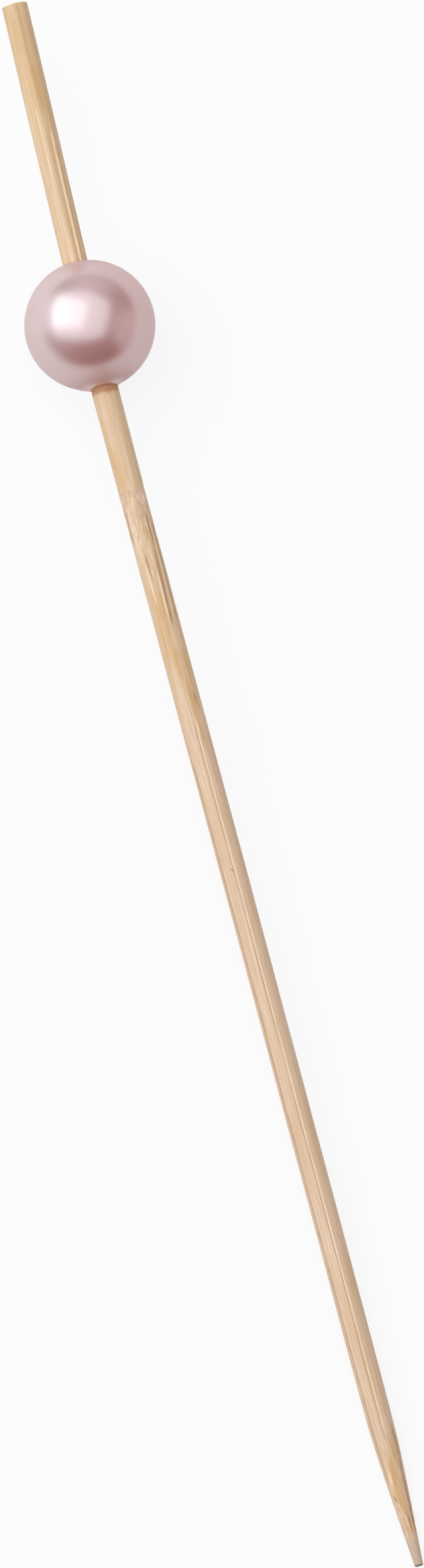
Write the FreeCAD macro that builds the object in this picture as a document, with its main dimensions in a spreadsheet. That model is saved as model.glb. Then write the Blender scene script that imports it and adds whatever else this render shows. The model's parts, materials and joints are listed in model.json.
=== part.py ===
# Cocktail pick: a round bamboo stick, sharpened at one end, that runs through a bored pearl bead.
#
# It lies on a table at z = 0, on the bead and on the shoulder of the point.
# The sharpened end points along -Y and the square-cut butt along +Y.
# All sizes are millimetres and all angles are degrees.

import FreeCAD, Part
import math
import os
import Sketcher
from FreeCAD import Vector

# Driving dimensions: name, value and what it measures

DIMENSIONS = (
    ("pick_length", 120.0, "whole stick, measured along its axis"),
    ("rod_diameter", 2.0, "bamboo rod, left at this size only in the collar under the bead"),
    ("butt_diameter", 1.90, "thinner run from the butt through the bead"),
    ("butt_chamfer", 0.05, "edge break of the square-cut end"),
    ("bend_from_butt", 30.2, "where the axes of the two straight runs cross"),
    ("bend_angle", 1.7, "how far the rod is bent there, level with the table"),
    ("bend_tangent", 0.9, "from the crossing to each end of the bend's arc"),
    ("collar_end", 5.0, "end of the full-size collar, from the bend"),
    ("shank_start", 6.5, "where the round shank begins, from the bend"),
    ("shank_diameter", 1.96, "round shank"),
    ("taper_start", 24.6, "where the shank begins to taper, from the bend"),
    ("shoulder_diameter", 1.945, "shank at the point's theoretical shoulder"),
    ("shoulder_radius", 22.0, "blend of the shank into the cone"),
    ("point_length", 10.0, "cone, from its theoretical shoulder to the end"),
    ("point_end_diameter", 0.64, "blunt end of the cone"),
    ("point_end_round", 0.12, "edge round the blunt end"),
    ("shank_facet_start", 25.6, "where the long facet leaves the round wood, from the bend"),
    ("shank_facet_angle", -25.0, "its direction, from straight up towards +X"),
    ("shank_facet_depth", 0.125, "its depth under the shank's size where it starts"),
    ("shank_facet_end_depth", 0.073, "the same halfway down the point, where the cone has passed it"),
    ("butt_facet_start", 8.0, "where the two short facets leave the round wood, from the bend"),
    ("wide_facet_angle", -31.0, "direction of the wider short facet"),
    ("wide_facet_depth", 0.15, "its depth"),
    ("narrow_facet_angle", 20.0, "direction of the narrower short facet"),
    ("narrow_facet_depth", 0.04, "its depth"),
    ("runout_radius", 33.0, "arc on which the knife leaves the wood"),
    ("bead_from_butt", 24.75, "centre of the bead"),
    ("bead_diameter", 9.68, "imitation pearl"),
    ("mouth_diameter", 3.6, "flat round each end of the bore"),
    ("mouth_round", 0.10, "edge of the flat"),
    ("bore_chamfer", 0.06, "edge of the bore in the flat"),
)

# Formulas that more than one feature uses
BEND_TO_END = "Dimensions.pick_length - Dimensions.bend_from_butt"
BEAD_TO_BEND = "Dimensions.bend_from_butt - Dimensions.bead_from_butt"
MOUTH_HEIGHT = "sqrt(Dimensions.bead_diameter ^ 2 - Dimensions.mouth_diameter ^ 2) / 2"

# How far a cutting outline reaches past the wood
CUT_MARGIN = 0.4

# Two edges are on the same circle when their radii differ by less than this
RADIUS_TOLERANCE = 1e-4

# A sketch constraint's numbers for the places on a piece of geometry, and for the sketch's own axes
START, END, CENTRE = 1, 2, 3
ORIGIN, HORIZONTAL_AXIS, VERTICAL_AXIS = -1, -1, -2

OUT_OF_PAGE = Vector(0, 0, 1)


def make_sheet(document):
    """The sheet of driving dimensions, with one named cell each."""
    cells = document.addObject("Spreadsheet::Sheet", "Dimensions")
    for row, (name, value, meaning) in enumerate(DIMENSIONS, start=1):
        cells.set(f"A{row}", name)
        cells.set(f"B{row}", str(value))
        cells.set(f"C{row}", meaning)
        cells.setAlias(f"B{row}", name)
    document.recompute()
    return cells


doc = FreeCAD.newDocument("CocktailPick")
sheet = make_sheet(doc)


def size(name):
    """A driving dimension as a number, for drawing a sketch close to its solved shape."""
    return float(sheet.get(name))


def new_sketch(body, name, role="XY_Plane"):
    """A sketch on one of the body's own origin planes."""
    sketch = body.newObject("Sketcher::SketchObject", name)
    plane = next(feature for feature in body.Origin.OriginFeatures if feature.Role == role)
    sketch.AttachmentSupport = [(plane, "")]
    sketch.MapMode = "FlatFace"
    return sketch


def line(sketch, first, second, guide=False):
    return sketch.addGeometry(Part.LineSegment(first, second), guide)


def arc(sketch, centre, radius, first_angle, last_angle):
    """An arc drawn anticlockwise from one angle to the other, in radians."""
    circle = Part.Circle(centre, OUT_OF_PAGE, radius)
    return sketch.addGeometry(Part.ArcOfCircle(circle, first_angle, last_angle))


def relate(sketch, kind, *where):
    """A geometric constraint, such as Tangent or Vertical."""
    sketch.addConstraint(Sketcher.Constraint(kind, *where))


def polyline(sketch, points):
    """Straight lines from point to point, each joined to the next."""
    lines = [line(sketch, first, second) for first, second in zip(points, points[1:])]
    for before, after in zip(lines, lines[1:]):
        relate(sketch, "Coincident", before, END, after, START)
    return lines


def drawn_size(sketch, kind, *where):
    """What a distance or a radius comes to in the outline as drawn."""
    if kind in ("Radius", "Diameter"):
        radius = sketch.Geometry[where[0]].Radius
        return radius if kind == "Radius" else 2 * radius
    gap = sketch.getPoint(*where[2:]) - sketch.getPoint(*where[:2])
    return {"DistanceX": gap.x, "DistanceY": gap.y, "Distance": gap.Length}[kind]


def tie(sketch, name, formula, constraint):
    """Name a constraint and tie its value to a formula of the sheet's cells."""
    index = sketch.addConstraint(constraint)
    sketch.renameConstraint(index, name)
    sketch.setExpression(f"Constraints.{name}", formula)


def measure(sketch, name, formula, kind, *where):
    """A named distance or radius, which starts from the drawn size and takes the formula's."""
    drawn = drawn_size(sketch, kind, *where)
    tie(sketch, name, formula, Sketcher.Constraint(kind, *where, drawn))


def circles_of(shape, radius):
    """Names of the circular edges of one radius."""
    names = []
    for number, edge in enumerate(shape.Edges, start=1):
        if edge.Curve.TypeId == "Part::GeomCircle" and abs(edge.Curve.Radius - radius) < RADIUS_TOLERANCE:
            names.append(f"Edge{number}")
    return names


# Bamboo stick
#
# A rod is bent, thinned on both sides of a short collar, sharpened and then planed. The
# stick's own origin is where the axes of its two straight runs cross, and the longer run,
# the shank, lies along its -Y axis.

def draw_bend_path(body):
    """The rod's axis: the shank, the small arc of the bend, and the run to the butt."""
    bend = math.radians(size("bend_angle"))
    reach = size("bend_tangent")
    butt = size("bend_from_butt")
    shank = size("pick_length") - butt
    radius = reach / math.tan(bend / 2)
    towards_butt = Vector(math.sin(bend), math.cos(bend), 0)

    path = new_sketch(body, "bend_path")
    lower = line(path, Vector(0, -shank, 0), Vector(0, -reach, 0))
    turn = arc(path, Vector(radius, -reach, 0), radius, math.pi - bend, math.pi)
    upper = line(path, towards_butt * reach, towards_butt * butt)
    relate(path, "PointOnObject", lower, START, VERTICAL_AXIS)
    relate(path, "PointOnObject", lower, END, VERTICAL_AXIS)
    relate(path, "Tangent", lower, END, turn, END)
    relate(path, "Tangent", turn, START, upper, START)
    relate(path, "PointOnObject", ORIGIN, START, upper)
    measure(path, "shank", BEND_TO_END, "DistanceY", lower, START, ORIGIN, START)
    measure(path, "reach", "Dimensions.bend_tangent", "DistanceY", lower, END, ORIGIN, START)
    measure(path, "butt", "Dimensions.bend_from_butt", "Distance", ORIGIN, START, upper, END)
    tie(path, "bend", "-Dimensions.bend_angle",
        Sketcher.Constraint("Angle", lower, START, upper, START, -bend))
    return path


def add_bent_rod(body):
    path = draw_bend_path(body)
    section = new_sketch(body, "rod_section", "XZ_Plane")
    section.setExpression("AttachmentOffset.Base.z", BEND_TO_END)
    ring = section.addGeometry(Part.Circle(Vector(), OUT_OF_PAGE, size("rod_diameter") / 2))
    relate(section, "Coincident", ring, CENTRE, ORIGIN, START)
    measure(section, "rod", "Dimensions.rod_diameter", "Diameter", ring)
    doc.recompute()

    rod = body.newObject("PartDesign::AdditivePipe", "bent_rod")
    rod.Profile = section
    rod.Spine = (path, [])
    doc.recompute()


def cut_round(body, name, waste):
    """Turn the waste away about its sketch's upright axis."""
    doc.recompute()
    whole = body.Shape.Volume
    groove = body.newObject("PartDesign::Groove", name)
    groove.Profile = waste
    groove.ReferenceAxis = (waste, ["V_Axis"])
    groove.Angle = 360
    doc.recompute()
    if body.Shape.Volume >= whole:
        raise RuntimeError(f"{name} cuts nothing")


def thin_butt_run(body):
    """Thin the rod from the butt down to the bead's lower mouth.

    The step left there is what the bead sits against. In the waste's outline, the radius
    from the run's axis lies across and the distance from the bend lies up.
    """
    inner = size("butt_diameter") / 2
    outer = size("rod_diameter") / 2 + CUT_MARGIN
    low = 1.0
    high = size("bend_from_butt") + CUT_MARGIN

    waste = new_sketch(body, "butt_run_waste")
    waste.setExpression("AttachmentOffset.Rotation.Angle", "-Dimensions.bend_angle")
    corners = (Vector(inner, low, 0), Vector(outer, low, 0), Vector(outer, high, 0),
               Vector(inner, high, 0), Vector(inner, low, 0))
    step, outside, end, wall = polyline(waste, corners)
    relate(waste, "Coincident", wall, END, step, START)
    for level in (step, end):
        relate(waste, "Horizontal", level)
    for upright in (outside, wall):
        relate(waste, "Vertical", upright)
    measure(waste, "wall", "Dimensions.butt_diameter / 2", "DistanceX", ORIGIN, START, wall, START)
    measure(waste, "outside", f"Dimensions.rod_diameter / 2 + {CUT_MARGIN}",
            "DistanceX", ORIGIN, START, outside, START)
    measure(waste, "step", f"{BEAD_TO_BEND} - {MOUTH_HEIGHT}", "DistanceY", ORIGIN, START, step, START)
    measure(waste, "end", f"Dimensions.bend_from_butt + {CUT_MARGIN}",
            "DistanceY", ORIGIN, START, end, START)
    cut_round(body, "butt_run", waste)


def break_butt_edge(body):
    """A small chamfer round the cut end, which is the thin run's circle nearest the butt."""
    base = body.Tip
    rims = circles_of(base.Shape, size("butt_diameter") / 2)
    butt_rim = max(rims, key=lambda name: base.Shape.getElement(name).BoundBox.Center.y)
    chamfer = body.newObject("PartDesign::Chamfer", "butt_edge")
    chamfer.Base = (base, [butt_rim])
    chamfer.setExpression("Size", "Dimensions.butt_chamfer")
    doc.recompute()


def draw_shank_waste(body):
    """The wood that scraping and sharpening take off the rod beyond the collar.

    Radius lies across and distance along the shank up. Down the wood's side of the outline
    come the collar's slope, the round shank, its slight taper, the blended shoulder, the
    cone and the rounded edge of the blunt end.
    """
    collar = size("rod_diameter") / 2
    shank = size("shank_diameter") / 2
    neck = size("shoulder_diameter") / 2
    end = size("point_end_diameter") / 2
    blend = size("shoulder_radius")
    edge = size("point_end_round")
    bottom = size("bend_from_butt") - size("pick_length")
    outer = collar + CUT_MARGIN
    shoulder = Vector(neck, bottom + size("point_length"), 0)
    tip = Vector(end, bottom, 0)
    taper_top = Vector(shank, -size("taper_start"), 0)
    slant = math.atan2(neck - end, size("point_length"))
    down_cone = Vector(-math.sin(slant), -math.cos(slant), 0)
    blend_reach = blend * math.tan(slant / 2)
    edge_reach = edge * math.tan((math.pi / 2 - slant) / 2)
    blend_top = shoulder + Vector(0, blend_reach, 0)

    waste = new_sketch(body, "shank_waste")
    slope, wall = polyline(waste, (Vector(collar, -size("collar_end"), 0),
                                   Vector(shank, -size("shank_start"), 0), taper_top))
    taper = line(waste, taper_top, blend_top)
    blend_arc = arc(waste, blend_top - Vector(blend, 0, 0), blend, -slant, 0)
    cone = line(waste, shoulder + down_cone * blend_reach, tip - down_cone * edge_reach)
    edge_arc = arc(waste, Vector(end - edge_reach, bottom + edge, 0), edge, -math.pi / 2, -slant)
    drop, base, side, top = polyline(waste, (
        Vector(end - edge_reach, bottom, 0), Vector(end - edge_reach, bottom - CUT_MARGIN, 0),
        Vector(outer, bottom - CUT_MARGIN, 0), Vector(outer, -size("collar_end"), 0),
        Vector(collar, -size("collar_end"), 0)))
    taper_guide = line(waste, taper_top, shoulder, guide=True)
    cone_guide = line(waste, shoulder, tip, guide=True)

    relate(waste, "Coincident", wall, END, taper, START)
    relate(waste, "Tangent", taper, END, blend_arc, END)
    relate(waste, "Tangent", blend_arc, START, cone, START)
    relate(waste, "Tangent", cone, END, edge_arc, END)
    relate(waste, "Coincident", edge_arc, START, drop, START)
    relate(waste, "Coincident", top, END, slope, START)
    relate(waste, "Coincident", taper_guide, START, taper, START)
    relate(waste, "Coincident", taper_guide, END, cone_guide, START)
    relate(waste, "PointOnObject", taper, END, taper_guide)
    relate(waste, "PointOnObject", cone, START, cone_guide)
    relate(waste, "PointOnObject", cone, END, cone_guide)
    relate(waste, "Vertical", edge_arc, CENTRE, edge_arc, START)
    for level in (base, top):
        relate(waste, "Horizontal", level)
    for upright in (wall, drop, side):
        relate(waste, "Vertical", upright)

    radii = (
        ("collar", "Dimensions.rod_diameter / 2", slope),
        ("shank", "Dimensions.shank_diameter / 2", wall),
        ("neck", "Dimensions.shoulder_diameter / 2", cone_guide),
    )
    for name, formula, start_of in radii:
        measure(waste, name, formula, "DistanceX", ORIGIN, START, start_of, START)
    measure(waste, "end_radius", "Dimensions.point_end_diameter / 2",
            "DistanceX", ORIGIN, START, cone_guide, END)
    measure(waste, "outside", f"Dimensions.rod_diameter / 2 + {CUT_MARGIN}",
            "DistanceX", ORIGIN, START, side, START)
    levels = (
        ("collar_end", "Dimensions.collar_end", slope, START),
        ("shank_start", "Dimensions.shank_start", wall, START),
        ("taper_start", "Dimensions.taper_start", taper, START),
        ("shoulder", f"{BEND_TO_END} - Dimensions.point_length", cone_guide, START),
        ("guide_end", BEND_TO_END, cone_guide, END),
        ("end_face", BEND_TO_END, edge_arc, START),
        ("past_end", f"{BEND_TO_END} + {CUT_MARGIN}", base, START),
    )
    for name, formula, item, place in levels:
        measure(waste, name, formula, "DistanceY", item, place, ORIGIN, START)
    measure(waste, "blend", "Dimensions.shoulder_radius", "Radius", blend_arc)
    measure(waste, "end_edge", "Dimensions.point_end_round", "Radius", edge_arc)
    return waste


# How a facet's sketch is turned about each run of the rod: its first direction faces out of the
# facet, and its second runs along the rod, away from the bend
TO_FACET = "rotation(vector(0; 1; 0); Dimensions.{angle} - 90)"
ALONG_SHANK = f"{TO_FACET} * rotation(vector(1; 0; 0); 180)"
ALONG_BUTT_RUN = f"rotation(vector(0; 0; 1); -Dimensions.bend_angle) * {TO_FACET}"


def plane_facet(body, name, turn, wood, start, end, depth, end_depth):
    """A long shallow flat, cut by a knife that leaves the wood on an arc.

    The waste's outline has height above the run's axis across and distance from the bend up.
    It is drawn at a sample size, and the formulas then set it. wood is the diameter that the
    depths are measured from, start is where the arc leaves it, and end is past the wood that
    the facet reaches.
    """
    round_radius = size(wood) / 2
    wood_radius = f"Dimensions.{wood} / 2"
    radius = size("runout_radius")
    sample_start, sample_end, sample_depth = 10.0, 40.0, 0.1
    floor = round_radius - sample_depth
    rim = round_radius + CUT_MARGIN
    sweep = math.acos((radius - sample_depth - CUT_MARGIN) / radius)
    arc_top = Vector(rim, sample_start - radius * math.sin(sweep), 0)

    waste = new_sketch(body, f"{name}_waste")
    waste.setExpression("AttachmentOffset", f"placement(vector(0; 0; 0); {turn})")
    runout = arc(waste, Vector(floor + radius, sample_start, 0), radius, math.pi, math.pi + sweep)
    flat = line(waste, Vector(floor, sample_start, 0), Vector(floor, sample_end, 0))
    far_side = line(waste, Vector(floor, sample_end, 0), Vector(rim, sample_end, 0))
    top = line(waste, Vector(rim, sample_end, 0), arc_top)
    leaves_wood = waste.addGeometry(Part.Point(Vector(round_radius, sample_start - 1, 0)))

    relate(waste, "Tangent", runout, START, flat, START)
    relate(waste, "Coincident", flat, END, far_side, START)
    relate(waste, "Coincident", far_side, END, top, START)
    relate(waste, "Coincident", top, END, runout, END)
    relate(waste, "Horizontal", far_side)
    relate(waste, "Vertical", top)
    relate(waste, "PointOnObject", leaves_wood, START, runout)
    measure(waste, "runout", "Dimensions.runout_radius", "Radius", runout)
    measure(waste, "rim", f"{wood_radius} + {CUT_MARGIN}", "DistanceX", ORIGIN, START, top, START)
    measure(waste, "floor", f"{wood_radius} - Dimensions.{depth}", "DistanceX", ORIGIN, START, flat, START)
    measure(waste, "end_floor", f"{wood_radius} - Dimensions.{end_depth}",
            "DistanceX", ORIGIN, START, flat, END)
    measure(waste, "end", end, "DistanceY", ORIGIN, START, flat, END)
    measure(waste, "wood", wood_radius, "DistanceX", ORIGIN, START, leaves_wood, START)
    measure(waste, "start", f"Dimensions.{start}", "DistanceY", ORIGIN, START, leaves_wood, START)
    doc.recompute()

    whole = body.Shape.Volume
    facet = body.newObject("PartDesign::Pocket", name)
    facet.Profile = waste
    facet.Type = "ThroughAll"
    facet.SideType = "Symmetric"
    doc.recompute()
    if body.Shape.Volume >= whole:
        raise RuntimeError(f"{name} cuts nothing")


def build_stick():
    body = doc.addObject("PartDesign::Body", "bamboo_stick")
    body.Label = "bamboo_stick"
    add_bent_rod(body)
    thin_butt_run(body)
    break_butt_edge(body)
    cut_round(body, "shank_and_point", draw_shank_waste(body))
    plane_facet(body, "shank_facet", ALONG_SHANK.format(angle="shank_facet_angle"), "shank_diameter",
                "shank_facet_start", f"{BEND_TO_END} - Dimensions.point_length / 2",
                "shank_facet_depth", "shank_facet_end_depth")
    past_butt = f"Dimensions.bend_from_butt + {CUT_MARGIN}"
    for name in ("wide_facet", "narrow_facet"):
        plane_facet(body, name, ALONG_BUTT_RUN.format(angle=f"{name}_angle"), "butt_diameter",
                    "butt_facet_start", past_butt, f"{name}_depth", f"{name}_depth")
    return body


# Pearl bead
#
# A bored ball with a small flat round each end of the bore. Its own origin is its centre,
# and its bore, which grips the thin run, lies along its Y axis.

def draw_bead_section(body):
    """Half of the ball's section: radius from the bore's axis across, and the bore's length up."""
    ball = size("bead_diameter") / 2
    mouth = size("mouth_diameter") / 2
    bore = size("butt_diameter") / 2
    height = math.sqrt(ball ** 2 - mouth ** 2)
    mouth_angle = math.acos(mouth / ball)

    section = new_sketch(body, "ball_section")
    outside = arc(section, Vector(), ball, -mouth_angle, mouth_angle)
    top_flat = line(section, Vector(mouth, height, 0), Vector(bore, height, 0))
    wall = line(section, Vector(bore, height, 0), Vector(bore, -height, 0))
    low_flat = line(section, Vector(bore, -height, 0), Vector(mouth, -height, 0))
    relate(section, "Coincident", outside, CENTRE, ORIGIN, START)
    relate(section, "Coincident", outside, END, top_flat, START)
    relate(section, "Coincident", top_flat, END, wall, START)
    relate(section, "Coincident", wall, END, low_flat, START)
    relate(section, "Coincident", low_flat, END, outside, START)
    relate(section, "Symmetric", outside, START, outside, END, HORIZONTAL_AXIS)
    relate(section, "Horizontal", top_flat)
    relate(section, "Horizontal", low_flat)
    relate(section, "Vertical", wall)
    measure(section, "ball", "Dimensions.bead_diameter", "Diameter", outside)
    measure(section, "mouth", "Dimensions.mouth_diameter / 2", "DistanceX", ORIGIN, START, outside, END)
    measure(section, "bore", "Dimensions.butt_diameter / 2", "DistanceX", ORIGIN, START, wall, START)
    return section


def dress_edges(body, kind, name, radius_of_edges, property_name, cell):
    """A fillet or a chamfer on both circles of one radius."""
    base = body.Tip
    dressing = body.newObject(f"PartDesign::{kind}", name)
    dressing.Base = (base, circles_of(base.Shape, radius_of_edges))
    dressing.setExpression(property_name, f"Dimensions.{cell}")
    doc.recompute()


def build_bead():
    body = doc.addObject("PartDesign::Body", "pearl_bead")
    body.Label = "pearl_bead"
    section = draw_bead_section(body)
    doc.recompute()
    ball = body.newObject("PartDesign::Revolution", "bored_ball")
    ball.Profile = section
    ball.ReferenceAxis = (section, ["V_Axis"])
    ball.Angle = 360
    doc.recompute()
    dress_edges(body, "Fillet", "mouth_edges", size("mouth_diameter") / 2, "Radius", "mouth_round")
    dress_edges(body, "Chamfer", "bore_edges", size("butt_diameter") / 2, "Size", "bore_chamfer")
    return body


# How the pick rests
#
# The ball touches the table below its centre, and the shank slopes down until the blended
# shoulder of the point touches it too. The frame of rest is at the ball's centre, with
# its Y axis along the slope, and it is centred on the pick's length.

def set_rest(stick, bead):
    rest = doc.addObject("App::VarSet", "Rest")
    formulas = (
        ("App::PropertyAngle", "slant",
         "atan((Dimensions.shoulder_diameter - Dimensions.point_end_diameter)"
         " / 2 / Dimensions.point_length)"),
        ("App::PropertyFloat", "bead_to_bend", BEAD_TO_BEND),
        ("App::PropertyFloat", "bead_to_blend",
         f"bead_to_bend * cos(Dimensions.bend_angle) + {BEND_TO_END}"
         " - Dimensions.point_length - Dimensions.shoulder_radius * tan(slant / 2)"),
        ("App::PropertyFloat", "blend_centre",
         "Dimensions.shoulder_diameter / 2 - Dimensions.shoulder_radius"),
        ("App::PropertyAngle", "slope",
         "asin((Dimensions.bead_diameter / 2 - Dimensions.shoulder_radius)"
         " / sqrt(bead_to_blend ^ 2 + blend_centre ^ 2)) - atan2(blend_centre; bead_to_blend)"),
        ("App::PropertyFloat", "bead_y",
         f"cos(slope) * ({BEND_TO_END}"
         " + (bead_to_bend - Dimensions.bead_from_butt) * cos(Dimensions.bend_angle)) / 2"),
        ("App::PropertyPlacement", "frame",
         "placement(vector(0; bead_y; Dimensions.bead_diameter / 2); rotation(vector(1; 0; 0); slope))"),
    )
    for kind, name, formula in formulas:
        rest.addProperty(kind, name)
        rest.setExpression(name, formula)
        doc.recompute()

    stick.setExpression(
        "Placement",
        "Rest.frame * placement(vector(-Rest.bead_to_bend * sin(Dimensions.bend_angle);"
        " -Rest.bead_to_bend * cos(Dimensions.bend_angle); 0); rotation(vector(1; 0; 0); 0))")
    bead.setExpression(
        "Placement",
        "Rest.frame * placement(vector(0; 0; 0); rotation(vector(0; 0; 1); -Dimensions.bend_angle))")
    doc.recompute()
    return rest


stick = build_stick()
bead = build_bead()
rest = set_rest(stick, bead)

for item in doc.Objects:
    if "Invalid" in item.State or "Error" in item.State:
        raise RuntimeError(f"{item.Label} did not rebuild: {item.State}")

os.makedirs("parts", exist_ok=True)
for body in (stick, bead):
    if body.Shape.isNull() or not body.Shape.isValid():
        raise RuntimeError(f"{body.Label} has no valid shape")
    body.Shape.exportStep(f"parts/{body.Label}.step")
    box = body.Shape.BoundBox
    print(f"{body.Label}: {body.Shape.Volume:.2f} mm3,"
          f" x {box.XMin:.3f} to {box.XMax:.3f}, y {box.YMin:.3f} to {box.YMax:.3f},"
          f" z {box.ZMin:.3f} to {box.ZMax:.3f}")
print(f"slope {float(rest.slope):.4f} degrees, bead at y {rest.bead_y:.4f}")
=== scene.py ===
# Looks of the cocktail pick: a planed and sharpened bamboo stick that runs through a pearl bead.
#
# Lengths in this file are millimetres unless a comment says otherwise, and they become metres
# where the meshes are made. "Along" is the distance from the square-cut butt, measured on the
# stick's axis. "Around" is the angle about that axis, from straight up towards +X. Angles are in
# degrees in the tables, and in radians elsewhere unless a comment or a name says degrees.

import json
import math

import bpy
import numpy as np
from mathutils import Matrix, Vector


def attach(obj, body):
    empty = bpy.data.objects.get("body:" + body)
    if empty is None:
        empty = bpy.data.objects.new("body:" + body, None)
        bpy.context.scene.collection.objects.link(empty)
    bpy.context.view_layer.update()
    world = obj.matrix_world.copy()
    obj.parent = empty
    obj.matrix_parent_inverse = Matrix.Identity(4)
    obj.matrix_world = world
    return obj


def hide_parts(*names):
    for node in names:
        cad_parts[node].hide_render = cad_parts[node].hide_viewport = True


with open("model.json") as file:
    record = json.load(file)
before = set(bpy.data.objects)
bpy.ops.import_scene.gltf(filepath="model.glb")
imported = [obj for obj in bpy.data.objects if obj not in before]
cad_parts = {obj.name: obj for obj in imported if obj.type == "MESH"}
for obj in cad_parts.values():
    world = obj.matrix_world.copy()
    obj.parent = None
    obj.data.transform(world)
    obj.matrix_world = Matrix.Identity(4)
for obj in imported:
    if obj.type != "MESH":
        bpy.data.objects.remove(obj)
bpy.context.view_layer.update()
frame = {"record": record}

MM = 0.001

# Sizes that the solids are built to
PICK_LENGTH = 120.0
BEND_FROM_BUTT = 30.2
BEND = math.radians(1.7)
BEND_REACH = 0.9
BEAD_FROM_BUTT = 24.75
BEAD_RADIUS = 4.84
BORE_RADIUS = 0.95
MOUNT_FROM_BEND = 15.55

# The stick's own frame, found from the mount on the shank: its origin is where the axes of the
# two straight runs cross, and the shank runs along its -Y axis
shank_mount = next(mount for mount in frame["record"]["mounts"] if mount["name"] == "shank")
shank_run = Vector(shank_mount["axis"]).normalized()
crossing = Vector(shank_mount["pos_m"]) - shank_run * MOUNT_FROM_BEND * MM
side = Vector((1.0, 0.0, 0.0))
up = side.cross(-shank_run)
STICK_TO_WORLD = np.array([side, -shank_run, up]).T


def to_world(points):
    """Points of the stick's own frame, in millimetres, as metres in the object's frame."""
    return points @ STICK_TO_WORLD.T * MM + np.array(crossing)


def smooth_step(low, high, value):
    """0 at low and 1 at high, which may be the smaller of the two."""
    share = np.clip((value - low) / (high - low), 0.0, 1.0)
    return share * share * (3 - 2 * share)


def window(along, start, end, fade):
    """1 between start and end, with soft ends."""
    return smooth_step(start, start + fade, along) * (1 - smooth_step(end - fade, end, along))


def half_turn(angle):
    """An angle, brought between minus and plus half a turn."""
    return np.mod(angle + math.pi, 2 * math.pi) - math.pi


def waves(turn, rows):
    """Waves round a circle, each given by how many go round it, its phase and its height."""
    return sum(height * np.sin(count * turn + phase) for count, phase, height in rows)


def lattice_noise(along, around, cell, count, seed):
    """Smooth noise from -1 to 1: one value each cell along the stick, and count of them round it."""
    rows = int(PICK_LENGTH / cell) + 4
    grid = np.random.default_rng(seed).uniform(-1, 1, (rows, count))
    down = np.clip(along / cell + 1, 0, rows - 2.001)
    across = np.mod(around / (2 * math.pi), 1.0) * count
    row, column = np.floor(down).astype(int), np.floor(across).astype(int)
    row_share, column_share = smooth_step(0, 1, down - row), smooth_step(0, 1, across - column)
    column, following = column % count, (column + 1) % count
    first = grid[row, column] * (1 - column_share) + grid[row, following] * column_share
    second = grid[row + 1, column] * (1 - column_share) + grid[row + 1, following] * column_share
    return first * (1 - row_share) + second * row_share


# Bamboo stick

# Places along the stick, and the radius of the round wood there
ROUND_PROFILE = (
    (0.0, 0.953), (6.0, 0.957), (11.0, 0.953), (14.0, 0.938), (20.0, 0.931), (27.0, 0.935),
    (29.4, 1.006), (31.0, 1.008), (33.5, 0.995), (36.7, 0.982), (38.3, 0.967), (41.0, 0.973),
    (44.0, 0.983), (46.5, 0.968), (55.0, 0.972), (62.0, 0.966), (67.0, 0.974), (79.0, 0.966),
    (85.0, 0.978), (90.0, 0.968), (103.0, 0.966), (107.0, 0.957), (109.2, 0.938), (110.9, 0.893),
    (112.9, 0.791), (114.8, 0.674), (116.8, 0.540), (118.7, 0.403), (120.0, 0.318),
)

# Places along the stick, and how far its axis drifts to the side there
DRIFT_PROFILE = (
    (0.0, -0.010), (29.0, 0.0), (31.0, 0.004), (38.0, -0.020), (48.0, -0.022), (56.0, -0.015),
    (68.0, 0.004), (82.0, 0.0), (85.5, -0.010), (90.0, 0.002), (103.0, -0.014), (109.0, -0.018),
    (111.0, 0.004), (114.8, 0.012), (118.7, 0.028), (120.0, 0.032),
)

# Planed flats: direction, start, end, depth at the start and at the end, and the radius that the
# depth is measured from, where it isn't that of the round wood
SHANK_RADIUS = 0.975
FACETS = (
    (-25.0, 55.8, 118.0, 0.125, 0.068, SHANK_RADIUS),
    (-31.0, -1.0, 22.2, 0.150, 0.150, None),
    (20.0, -1.0, 22.2, 0.040, 0.040, None),
)
RUNOUT_RADIUS = 33.0
EDGE_SOFTNESS = 0.004

# A flat cuts only the wood that faces its way, with a cosine over the first value. Elsewhere its
# height is the second, which is well outside the wood.
FACING_LEAST = 0.2
OUT_OF_REACH = 5.0

# Lines that run along the long flat: start, end, and angle at the start and at the end
FLAT_FURROW = (55.2, 111.0, 2.6, 2.2)
FLAT_RIDGE = (55.6, 110.5, 10.0, 8.4)
FLAT_EDGE = (58.0, 114.2, -56.0, -50.5)

# Lines cut into the wood and raised from it: start, end, angle at the start and at the end, width,
# and depth or height
GROOVES = (
    (*FLAT_FURROW, 0.045, 0.026),
    (*FLAT_EDGE, 0.050, 0.022),
    (41.8, 45.0, -16.0, -11.5, 0.050, 0.022),
    (42.0, 48.6, 34.0, 26.5, 0.080, 0.042),
    (38.8, 42.0, 25.0, 25.0, 0.050, 0.018),
    (39.2, 42.4, 34.5, 41.5, 0.055, 0.024),
    (42.4, 48.2, 61.0, 61.0, 0.060, 0.020),
    (45.2, 49.8, 4.0, -1.0, 0.070, 0.012),
    (38.4, 41.8, -63.0, -60.0, 0.070, 0.014),
    (111.0, 117.4, 50.0, 56.0, 0.060, 0.014),
    (114.4, 115.3, -48.0, -26.0, 0.055, 0.040),
    (9.5, 24.0, 19.5, 19.5, 0.040, 0.018),
    (10.5, 24.0, 45.0, 46.0, 0.060, 0.022),
    (9.0, 24.0, -20.0, -19.5, 0.030, 0.008),
)
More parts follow.
